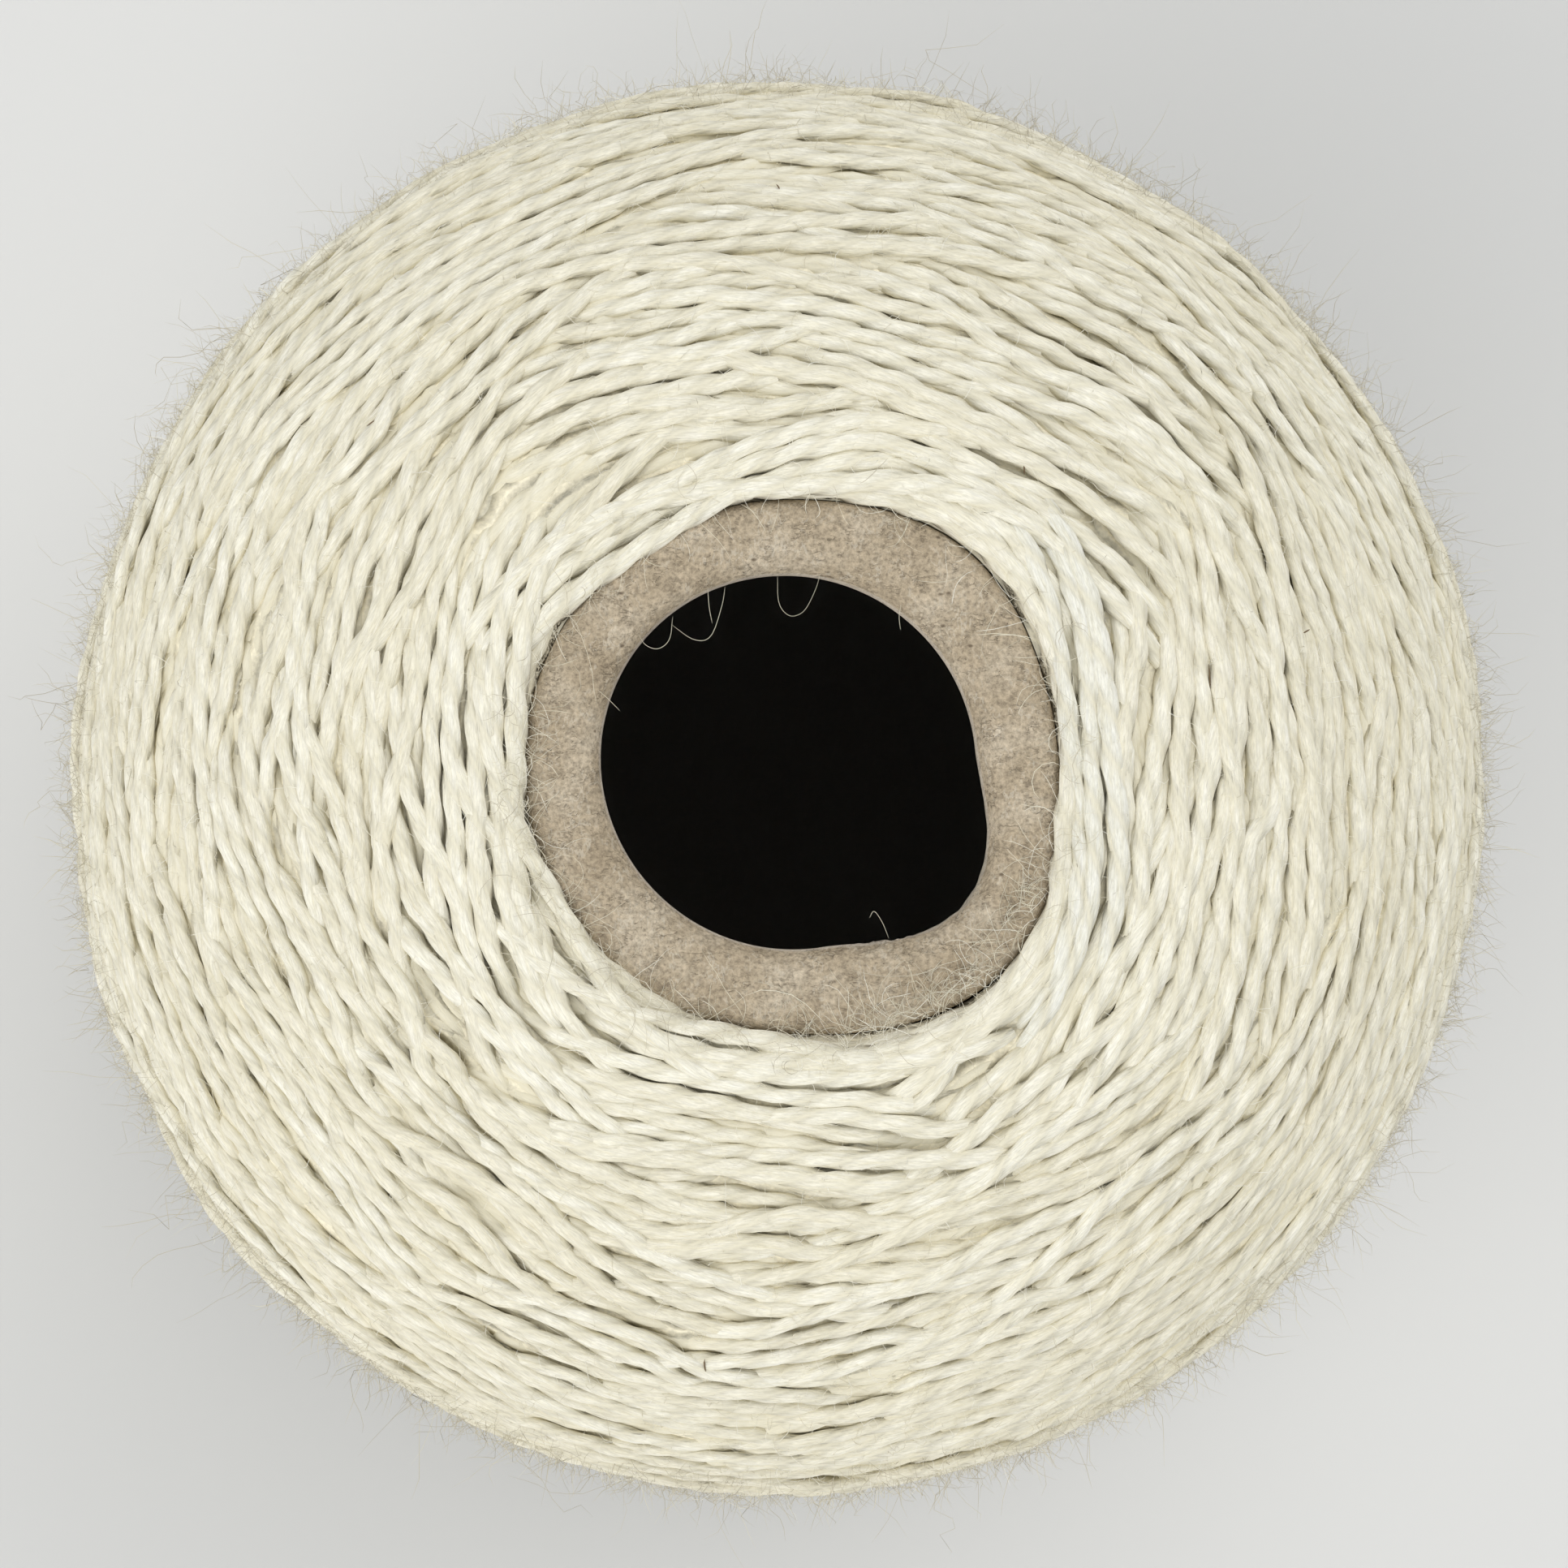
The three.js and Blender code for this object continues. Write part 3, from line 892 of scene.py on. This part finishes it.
def under_turns():
    """The body's outline, spun about the cone and then moved vertex by vertex to just under the turns."""
    shape = bmesh.new()
    along = shape.verts.layers.float.new("along")
    s = np.append(np.arange(HUG - 0.6, FACE_LENGTH, UNDER_STEP), FACE_LENGTH)
    ring = [shape.verts.new(point * MM) for point in on_face(s, np.zeros(len(s)), np.full(len(s), -UNDER))]
    foot_z = ring[-1].co.z / MM
    ring.append(shape.verts.new(((cone_outer(foot_z) + 0.05) * MM, 0, foot_z * MM)))
    for vert, distance in zip(ring, np.append(s, -1)):
        vert[along] = distance
    edges = [shape.edges.new((a, b)) for a, b in zip(ring, ring[1:] + ring[:1])]
    bmesh.ops.spin(shape, geom=ring + edges, cent=(0, 0, 0), axis=(0, 0, 1), angle=2 * math.pi,
                   steps=UNDER_COLUMNS, use_merge=True)
    bmesh.ops.remove_doubles(shape, verts=shape.verts, dist=0.001 * MM)
    # it follows the swells of the winding, just under the turns that show
    on_top = [vert for vert in shape.verts if vert[along] >= 0]
    theta = np.array([math.atan2(vert.co.y, vert.co.x) for vert in on_top])
    s = np.array([vert[along] for vert in on_top])
    push = rim_push(np.degrees(theta)) * np.exp(-np.maximum(s - HUG, 0) / PUSH_FADES)
    under = np.interp(s, (SHOULDER - 8, SHOULDER + 8), (UNDER, UNDER_FLANK))
    points = on_face(s + push, theta, map_at(cover, s + push, theta) - under)
    least = cone_outer(points[:, 2]) + push + 0.05
    radius = np.hypot(points[:, 0], points[:, 1])
    points[:, :2] *= (np.maximum(radius, least) / radius)[:, None]
    for vert, point in zip(on_top, points):
        vert.co = point * MM
    bmesh.ops.recalc_face_normals(shape, faces=shape.faces)
    mesh = bpy.data.meshes.new("under_turns")
    shape.to_mesh(mesh)
    shape.free()
    mesh.polygons.foreach_set("use_smooth", [True] * len(mesh.polygons))
    return mesh


def turns_in_shade():
    """Wool with the low ribs of turns that lie side by side, with painted shade in the grooves between the
    ribs and a yellowed colour as painted bounce light.
    """
    material, tree, shader = finish_of("wool_in_shade", Roughness=0.9, Specular_IOR_Level=0.1)
    place = put(tree, "TexCoord").outputs["Object"]
    along = put(tree, "Attribute", {"attribute_name": "along"}).outputs["Fac"]
    waver = put(tree, "TexNoise", Vector=place, Scale=180.0, Detail=2.0, Roughness=0.5).outputs["Fac"]
    fluff = put(tree, "TexNoise", Vector=place, Scale=2400.0, Detail=2.0, Roughness=0.6).outputs["Fac"]
    across = maths(tree, "ADD", maths(tree, "MULTIPLY", along, math.pi / BENEATH_PITCH),
                   maths(tree, "MULTIPLY", waver, 9.0))
    rib = maths(tree, "ABSOLUTE", maths(tree, "SINE", across))
    # painted shade in the grooves between ribs, painted bounce light on the rib tops
    colour = ramp(tree, rib, (0.05, WOOL_SHADE), (0.6, WOOL_UNDER_PAINTED_BOUNCE))
    colour = blend_colour(tree, 1.0, colour, ramp(tree, fluff, (0.35, 0.85), (0.65, 1.1)), "MULTIPLY")
    tree.links.new(colour, shader.inputs["Base Color"])
    rough = bump(tree, rib, 1.0, 0.5)
    rough = bump(tree, fluff, 0.5, 0.1, rough)
    tree.links.new(rough, shader.inputs["Normal"])
    return material


finished("under_turns", under_turns(), turns_in_shade(), "wound_yarn")


# The stray fibres.
# Fine wool fibres stand out of the yarn: most lie over the turns, longer curly ones stand up and make a
# haze round the package, some reach over the cardboard, and a few hang into the nose hole.
FIBRE_RADIUS = 0.028
FIBRE_CORNERS = 3


def fibre_tubes(points, radius, tone):
    """Thin closed tubes along the middles of fibres, as rings and an even tone."""
    along = np.gradient(points, axis=1)
    along /= np.linalg.norm(along, axis=2)[..., None] + 1e-9
    side = np.cross(along, (0.31, -0.52, 0.79))
    side /= np.linalg.norm(side, axis=2)[..., None] + 1e-9
    over = np.cross(along, side)
    angle = np.arange(FIBRE_CORNERS) * 2 * math.pi / FIBRE_CORNERS
    thin = np.sqrt(np.clip(1.05 - np.abs(np.linspace(-1, 1, points.shape[1])) ** 3, 0, 1))
    size = radius[:, None, None, None] * thin[None, :, None, None]
    rings = points[:, :, None] + size * (np.cos(angle)[:, None] * side[:, :, None]
                                         + np.sin(angle)[:, None] * over[:, :, None])
    return [(ring, np.full(ring.shape[:2], value)) for ring, value in zip(rings, tone)]


def wandering(heading, curl, points):
    """Headings along each of many fibres, which wander more the curlier they are."""
    turns = rng.normal(size=(len(heading), points)) * 0.5 + rng.normal(size=(len(heading), 1))
    return heading[:, None] + curl[:, None] * np.cumsum(turns, axis=1) / points


def face_fibres(count, s_low, s_high, length, rise, curl, standing,
                thickness=1.0, tones=(0.3, 1.0), points=6):
    """Fibres rooted in the turns on the face. Standing ones have a free end, the others lie down again."""
    s_even = np.linspace(s_low, s_high, 200)
    share = np.cumsum(radius_at(s_even))
    s_root = np.interp(rng.uniform(share[0], share[-1], count), share, s_even)
    theta_root = rng.uniform(0, 2 * math.pi, count)
    heading = rng.choice((-1, 1), count) * math.pi / 2 + rng.normal(0, 0.8, count)
    heading = wandering(heading, rng.uniform(0.3, 1, count) * curl, points)
    step = (rng.gamma(4, length / 4, count) / points)[:, None]
    s = np.clip(s_root[:, None] + np.cumsum(np.cos(heading) * step, axis=1), HUG - 1, FACE_LENGTH - 1)
    theta = theta_root[:, None] + np.cumsum(np.sin(heading) * step, axis=1) / radius_at(s_root)[:, None]
    t = np.linspace(0, 1, points)
    lift = rng.gamma(2, rise / 2, count)[:, None] * (t if standing else np.sin(math.pi * t))
    lift = lift + 0.12 * rise * np.cumsum(rng.normal(size=s.shape), axis=1)
    ground = map_at(top, s.ravel(), theta.ravel()).reshape(s.shape)
    ground = np.maximum(ground, map_at(cover, s.ravel(), theta.ravel()).reshape(s.shape) + 0.1)
    height = ground + 0.04 + np.maximum(lift, 0)
    height[:, 0] -= 0.3
    middles = on_face(s.ravel(), theta.ravel(), height.ravel()).reshape(count, points, 3)
    radius = thickness * FIBRE_RADIUS * rng.uniform(0.6, 1.2, count)
    return fibre_tubes(middles, radius, rng.uniform(*tones, count))


def rim_fibres(count, length, inwards):
    """Curly fibres from the turns beside the cone, over the rolled edge of the cardboard."""
    where = np.radians(np.concatenate((rng.uniform(0, 360, count // 3), rng.normal(205, 35, count // 3),
                                       rng.normal(305, 26, count - count // 3 * 2))))
    start = rng.uniform(16.9, 18.6, count)
    heading = where + math.pi + rng.choice((-1, 1), count) * rng.normal(inwards, 0.5, count)
    heading = wandering(heading, np.full(count, 1.9), 7)
    step = (rng.gamma(4, length / 4, count) / 7)[:, None]
    x = (start * np.cos(where))[:, None] + np.cumsum(np.cos(heading) * step, axis=1)
    y = (start * np.sin(where))[:, None] + np.cumsum(np.sin(heading) * step, axis=1)
    lift = 0.15 + np.abs(np.cumsum(rng.normal(size=x.shape), axis=1)) * 0.18
    ground = np.interp(np.hypot(x, y), (10, 15, 16.4, 17.5, 19), (0.1, 0.15, -0.2, 0.6, 1.1))
    points = np.stack((x, y, CONE_HEIGHT + ground + lift), axis=-1)
    clear = np.hypot(x, y) - hole_offset(np.degrees(np.arctan2(y, x))) - HOLE_RADIUS
    points = points[clear.min(axis=1) > 0.4]
    count = len(points)
    return fibre_tubes(points, FIBRE_RADIUS * rng.uniform(0.4, 0.85, count), rng.uniform(0, 0.9, count))


# fibres that hang into the nose hole: points across and towards the top from its middle, and their depth
HANGING = (
    ((-4.2, 11.3, -0.2), (-4.4, 10.1, -0.5), (-5.1, 8.2, -0.9), (-6.2, 8.0, -0.9), (-7.6, 8.9, -0.3)),
    ((-5.3, 11.2, -0.1), (-5.2, 10.0, -0.4), (-5.0, 9.0, -0.8)),
    ((-7.5, 9.4, 0.0), (-7.7, 8.0, -0.6), (-8.4, 7.4, -0.8), (-9.2, 7.6, -0.5), (-9.7, 8.3, 0.0)),
    ((-0.9, 12.1, 0.0), (-0.8, 10.3, -0.5), (-0.1, 9.5, -0.8), (0.8, 9.8, -0.7), (1.5, 11.1, -0.4),
     (1.8, 12.1, 0.0)),
    ((-12.2, 4.7, 0.2), (-11.6, 4.2, 0.1), (-10.8, 3.4, 0.0)),
    ((6.9, 10.2, 0.1), (6.8, 9.4, -0.3), (6.9, 8.6, -0.6)),
    ((6.1, -10.9, 0.1), (5.7, -9.9, -0.1), (5.2, -9.2, -0.3), (4.9, -9.6, -0.3)),
)


def smooth_line(points, count):
    """A smooth line through a few points, as many points."""
    points = np.array(points)
    padded = np.vstack((2 * points[0] - points[1], points, 2 * points[-1] - points[-2]))
    at = np.linspace(0, len(points) - 1.001, count)
    low, t = at.astype(int), (at % 1)[:, None]
    a, b, c, d = (padded[low + i] for i in range(4))
    return b + t / 2 * (c - a + t * (2 * a - 5 * b + 4 * c - d + t * (3 * (b - c) + d - a)))


def hanging_fibres():
    tubes = []
    for line in HANGING:
        points = smooth_line(line, 18) + (0, 0, CONE_HEIGHT)
        tubes += fibre_tubes(points[None], np.array([FIBRE_RADIUS * 0.65]), np.array([0.3]))
    return tubes


def wool_fibre():
    material, tree, shader = finish_of("wool_fibre", Roughness=0.6, Specular_IOR_Level=0.3)
    tone = put(tree, "Attribute", {"attribute_name": "tone"}).outputs["Fac"]
    # the dark end serves the painted shade of the halo fibres, seen backlit against the floor
    colour = ramp(tree, tone, (0.0, (0.50, 0.45, 0.35)), (0.4, (0.78, 0.73, 0.57)), (1.0, (0.93, 0.91, 0.82)))
    tree.links.new(colour, shader.inputs["Base Color"])
    return material


fibre = wool_fibre()
HALO_START, HALO_END = SHOULDER - 7, SHOULDER + 9
DOME_START, DOME_STOP = HUG + 0.5, HALO_START + 10
LYING, STANDING = False, True
# painted shade: the standing fibres round the shoulder are given darker, greyer tones as they show against
# the bright floor
GREYER_PAINTED_SHADE, DARKER_PAINTED_SHADE = (0.0, 0.4), (0.0, 0.25)
FLANK_TONES, LOW_TONES = (0.1, 0.7), (0.1, 0.8)

# how many, from where to where on the face, their length, rise and curl, and whether they stand
fibres = {
    "fibres_on_nose_end":
        face_fibres(4600, DOME_START, DOME_STOP, 2.4, 0.35, 2.6, LYING, 0.65, points=5)
        + face_fibres(1500, DOME_START, DOME_STOP, 1.6, 0.6, 3.0, STANDING, 0.6, points=5),
    "fibres_at_the_nose":
        rim_fibres(950, 2.5, 0.9) + hanging_fibres(),
    "fibres_on_shoulder":
        face_fibres(5200, HALO_START, HALO_END, 1.7, 0.8, 4.2, STANDING, 0.6, GREYER_PAINTED_SHADE, 4)
        + face_fibres(2200, HALO_START, HALO_END, 3.3, 1.5, 5.4, STANDING, 0.6, DARKER_PAINTED_SHADE, 5)
        + face_fibres(80, HALO_START, HALO_END, 7.0, 2.6, 6.5, STANDING, 0.65, DARKER_PAINTED_SHADE, 9),
    "fibres_on_flank":
        face_fibres(450, HALO_END - 5, FOOT_EDGE + 12, 3.4, 0.35, 2.0, LYING, points=5)
        + face_fibres(850, HALO_END - 2, HALO_END + 20, 2.6, 1.0, 3.8, STANDING, 0.75, FLANK_TONES, 5)
        + face_fibres(700, HALO_END + 6, FOOT_EDGE + 10, 3.0, 1.2, 3.8, STANDING, 0.8, LOW_TONES, 5),
}
for name, tubes in fibres.items():
    finished(name, joined_tubes(name, tubes, (("tone", "FLOAT", "value"),)), fibre, "wound_yarn")


# Bits of straw.
# A few dark bits of straw and chaff are caught in the wool, as they are in any wool that is little combed.
# Each is given as where it lies round the nose and out from it, its length and its lean.
STRAW = ((314, 20.9, 2.4, 1.5), (12, 27.3, 1.6, 1.4), (15, 34.6, 0.6, 0.2), (91, 38.4, 0.5, 0.4),
         (205, 31.5, 1.4, 0.9), (262, 39.0, 1.2, 0.2), (140, 35.0, 1.1, 1.2), (52, 24.0, 0.9, 0.7))
STRAW_RADIUS = 0.06
STRAW_COLOUR = (0.16, 0.105, 0.05)


def straw_bits():
    tubes = []
    for around, out, length, lean in STRAW:
        s_mid = float(np.interp(out, face_r[:int(SHOULDER * 10)], face_s[:int(SHOULDER * 10)]))
        t = np.linspace(-0.5, 0.5, 5) * length
        s = s_mid + t * math.cos(lean)
        theta = math.radians(around) + t * math.sin(lean) / out + 0.004 * length * t ** 2
        height = map_at(cover, s, theta) + 0.55 + 0.05 * t
        tubes += fibre_tubes(on_face(s, theta, height)[None], np.array([STRAW_RADIUS]), np.array([0.0]))
    return tubes


straw = joined_tubes("straw_bits", straw_bits(), (("tone", "FLOAT", "value"),))
dry_straw = finish_of("dry_straw", Base_Color=(*STRAW_COLOUR, 1), Roughness=0.7)[0]
finished("straw_bits", straw, dry_straw, "wound_yarn")


# The studio.
# A plain pale floor and soft light: a broad light from the lower left, a second from the upper right, and
# an even pale surround.
FLOOR_HALF = 20.0
FLOOR_COLOUR = (0.675, 0.675, 0.668)
LIGHT_SIZE = 1.6
LIGHT_COLOUR = (1.0, 0.985, 0.955)
LIT_POINT = (0, 0, 0.1)
SURROUND_COLOUR = (0.95, 0.97, 0.99)
SURROUND_STRENGTH = 0.74


def pale_floor():
    shape = bmesh.new()
    bmesh.ops.create_grid(shape, x_segments=1, y_segments=1, size=FLOOR_HALF)
    mesh = bpy.data.meshes.new("floor")
    shape.to_mesh(mesh)
    shape.free()
    mesh.materials.append(finish_of("pale_floor", Base_Color=(*FLOOR_COLOUR, 1), Roughness=0.9,
                                    Specular_IOR_Level=0.1)[0])
    floor = bpy.data.objects.new("floor", mesh)
    bpy.context.scene.collection.objects.link(floor)


def soft_light(name, place, power):
    """A broad square light that faces the middle of the cone."""
    data = bpy.data.lights.new(name, "AREA")
    data.shape = "SQUARE"
    data.size = LIGHT_SIZE
    data.energy = power
    data.color = LIGHT_COLOUR
    light = bpy.data.objects.new(name, data)
    light.location = place
    light.rotation_mode = "QUATERNION"
    light.rotation_quaternion = (Vector(LIT_POINT) - Vector(place)).to_track_quat("-Z", "Y")
    bpy.context.scene.collection.objects.link(light)


pale_floor()
soft_light("light_lower_left", (-0.75, -0.85, 0.95), 12.0)
soft_light("light_upper_right", (0.65, 0.9, 1.1), 9.4)

world = bpy.data.worlds.new("surround")
world.use_nodes = True
background = world.node_tree.nodes["Background"]
background.inputs["Color"].default_value = (*SURROUND_COLOUR, 1)
background.inputs["Strength"].default_value = SURROUND_STRENGTH
bpy.context.scene.world = world
bpy.context.scene.view_settings.view_transform = "Standard"
bpy.context.scene.view_settings.look = "None"
